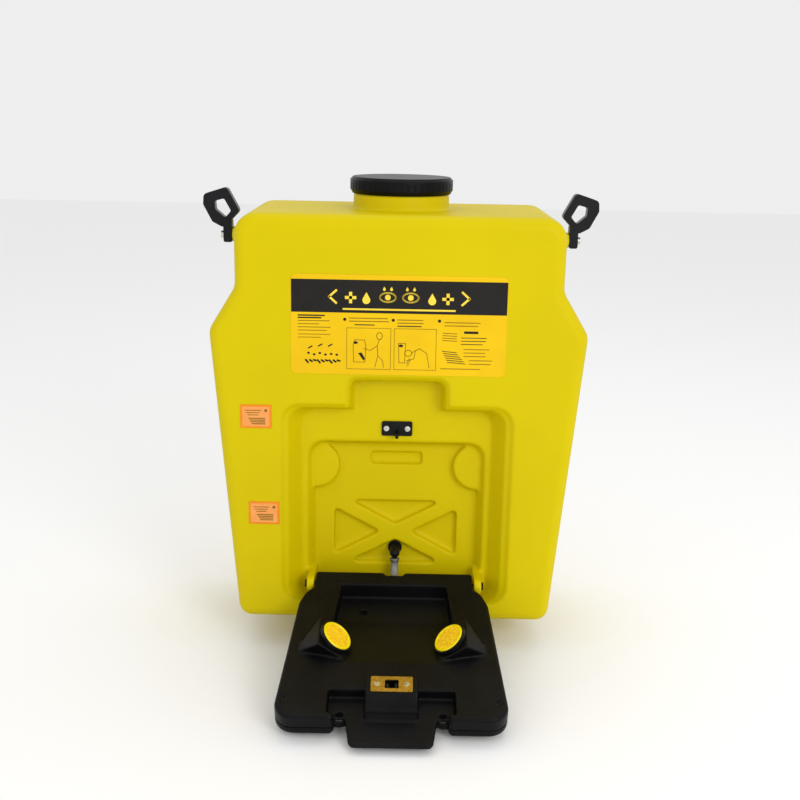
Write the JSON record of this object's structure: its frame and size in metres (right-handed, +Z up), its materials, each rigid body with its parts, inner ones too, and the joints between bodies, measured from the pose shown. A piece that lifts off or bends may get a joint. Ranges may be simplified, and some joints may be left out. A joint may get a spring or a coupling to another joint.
{
  "type": "portable eyewash station",
  "caption": "Gravity-fed eyewash: moulded tank with screw cap and carrying eyes, fold-down basin tray with two tilted spray heads, roller catch and supply hose.",
  "frame": {"origin": "centre of the tank's flat base", "axes": "+Z up, -Y towards the user who stands in front of the tray, +X the user's right when facing the tank"},
  "size_m": [0.5838, 0.5334, 0.6912],
  "materials": {
    "tank_plastic": "rotationally moulded yellow polyethylene, satin",
    "cap_plastic": "moulded black polypropylene",
    "liner_foam": "white expanded polyethylene liner",
    "eye_nylon": "moulded black nylon",
    "screw_steel": "stainless steel screws and pins",
    "insert_brass": "turned brass",
    "fitting_plastic": "moulded black polypropylene fitting",
    "gasket_rubber": "moulded black rubber",
    "hose_vinyl": "clear vinyl hose, slightly grey",
    "clip_steel": "stainless steel ear clip",
    "label_film": "printed vinyl label, yellow with black band",
    "sticker_film": "printed vinyl sticker, orange",
    "tray_plastic": "moulded black ABS, fine grain with polished edges",
    "bush_acetal": "turned white acetal",
    "head_plastic": "moulded black ABS",
    "ring_plastic": "moulded yellow ABS",
    "filter_foam": "open-cell yellow filter foam",
    "catch_steel": "pressed steel case",
    "plate_brass": "pressed brass-plated steel",
    "roller_nylon": "turned black nylon rollers",
    "spring_steel": "spring steel wire"
  },
  "bodies": {
    "tank_body": {"tank": "tank_plastic", "carry_eye_left": "eye_nylon", "carry_eye_right": "eye_nylon", "carry_eye_screws": "screw_steel", "carry_eye_inserts": "insert_brass", "hinge_pin_left": "screw_steel", "hinge_pin_right": "screw_steel", "outlet_elbow": "fitting_plastic", "outlet_nut": "fitting_plastic", "outlet_gasket": "gasket_rubber", "supply_hose": "hose_vinyl", "supply_hose_clip": "clip_steel", "strike_plate": "fitting_plastic", "strike_screws": "screw_steel", "instruction_label": "label_film", "inspection_sticker_upper": "sticker_film", "inspection_sticker_lower": "sticker_film"},
    "tray": {"tray_top": "tray_plastic", "tray_base": "tray_plastic", "tray_front_screws": "screw_steel", "tray_rear_screws": "screw_steel", "hinge_bush_left": "bush_acetal", "hinge_bush_right": "bush_acetal", "spray_head_left": "head_plastic", "spray_head_right": "head_plastic", "head_seal_left": "gasket_rubber", "head_seal_right": "gasket_rubber", "spray_ring_left": "ring_plastic", "spray_ring_right": "ring_plastic", "filter_foam_left": "filter_foam", "filter_foam_right": "filter_foam", "inlet_tee": "fitting_plastic", "branch_hose_left": "hose_vinyl", "branch_hose_right": "hose_vinyl", "branch_hose_clips": "clip_steel", "catch_case": "catch_steel", "catch_plate": "plate_brass", "catch_screws": "screw_steel", "roller_spring_left": "spring_steel", "roller_spring_right": "spring_steel"},
    "liner": {"cap_liner": "liner_foam"},
    "cap": {"fill_cap": "cap_plastic"},
    "roller_left": {"catch_roller_left": "roller_nylon"},
    "roller_right": {"catch_roller_right": "roller_nylon"}
  },
  "joints": [
    {"name": "tray_fold", "type": "hinge", "parent": "tank_body", "child": "tray", "pos_m": [0, -0.12, 0.057], "axis": [-1, 0, 0], "range_deg": [0, 105.8], "deforming": ["supply_hose"]},
    {"name": "roller_left_slide", "type": "slide", "parent": "tray", "child": "roller_left", "axis": [-1, 0, 0], "range_m": [0, 0.0015], "stiffness_N_per_m": 2000, "deforming": ["roller_spring_left"]},
    {"name": "roller_right_slide", "type": "slide", "parent": "tray", "child": "roller_right", "axis": [1, 0, 0], "range_m": [0, 0.0015], "stiffness_N_per_m": 2000, "deforming": ["roller_spring_right"]},
    {"name": "cap_lift", "type": "slide", "parent": "tank_body", "child": "liner", "axis": [0, 0, 1], "range_m": [0, 0.06]},
    {"name": "cap_turn", "type": "hinge", "parent": "liner", "child": "cap", "pos_m": [0, 0, 0.64], "axis": [0, 0, 1], "continuous": true}
  ],
  "couplings": [
    {"joint": "roller_right_slide", "follows": "roller_left_slide", "ratio": 1}
  ]
}
